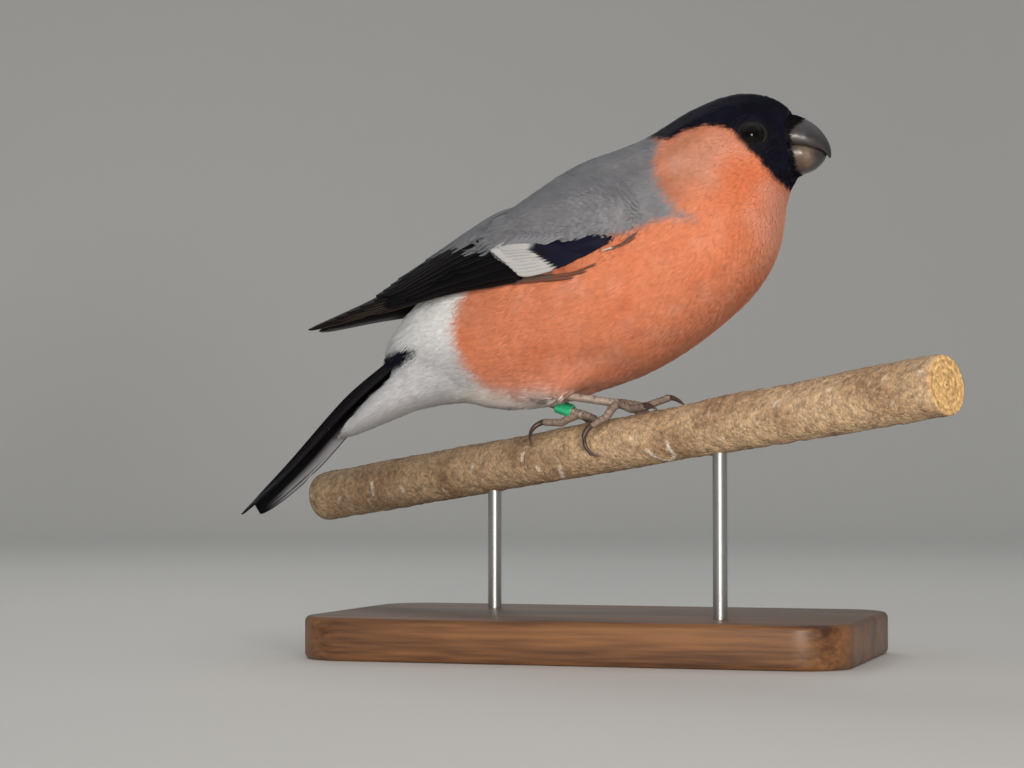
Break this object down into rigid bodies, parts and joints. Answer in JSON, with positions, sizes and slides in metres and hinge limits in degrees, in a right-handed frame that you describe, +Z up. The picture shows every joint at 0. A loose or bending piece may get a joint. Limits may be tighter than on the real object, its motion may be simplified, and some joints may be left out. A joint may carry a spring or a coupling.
{
  "type": "bullfinch",
  "caption": "Still life-size model of a male Eurasian bullfinch gripping a short cut perch, held over a flat base by two thin rods.",
  "frame": {"origin": "middle of the underside of the stand's base, on the floor, right under the bird's feet", "axes": "+X the way the bird faces, +Y the bird's left side, +Z up"},
  "size_m": [0.1635, 0.0943, 0.1192],
  "materials": {
    "black_feather": "glossy blue-black feathers",
    "rose_feather": "soft matt pink-orange feathers",
    "ash_feather": "soft matt grey feathers",
    "white_feather": "soft matt white feathers",
    "horn": "smooth horn of bill and claws",
    "eye": "wet, very dark brown eye",
    "leg_skin": "scaled grey-brown skin",
    "ring_green": "green anodised leg ring",
    "bark": "rough branch with light grit and specks, pale cut ends",
    "base_wood": "oiled dark hardwood",
    "steel": "plain steel rod"
  },
  "bodies": {
    "root": {"head": "black_feather", "neck": "rose_feather", "trunk": "rose_feather", "rump": "white_feather", "undertail_coverts": "white_feather", "tail": "black_feather", "wing_right_coverts": "ash_feather", "wing_right_secondaries": "black_feather", "wing_right_primaries": "black_feather", "thigh_right": "rose_feather", "tarsus_right": "leg_skin", "toe_right_hallux": "leg_skin", "claw_right_hallux": "horn", "toe_right_inner": "leg_skin", "claw_right_inner": "horn", "toe_right_middle": "leg_skin", "claw_right_middle": "horn", "toe_right_outer": "leg_skin", "claw_right_outer": "horn", "eye_right": "eye", "wing_left_coverts": "ash_feather", "wing_left_secondaries": "black_feather", "wing_left_primaries": "black_feather", "thigh_left": "rose_feather", "tarsus_left": "leg_skin", "toe_left_hallux": "leg_skin", "claw_left_hallux": "horn", "toe_left_inner": "leg_skin", "claw_left_inner": "horn", "toe_left_middle": "leg_skin", "claw_left_middle": "horn", "toe_left_outer": "leg_skin", "claw_left_outer": "horn", "eye_left": "eye", "bill_upper": "horn", "bill_lower": "horn", "leg_ring": "ring_green", "perch": "bark", "stand_base": "base_wood", "stand_rod_front": "steel", "stand_rod_rear": "steel"}
  },
  "joints": []
}
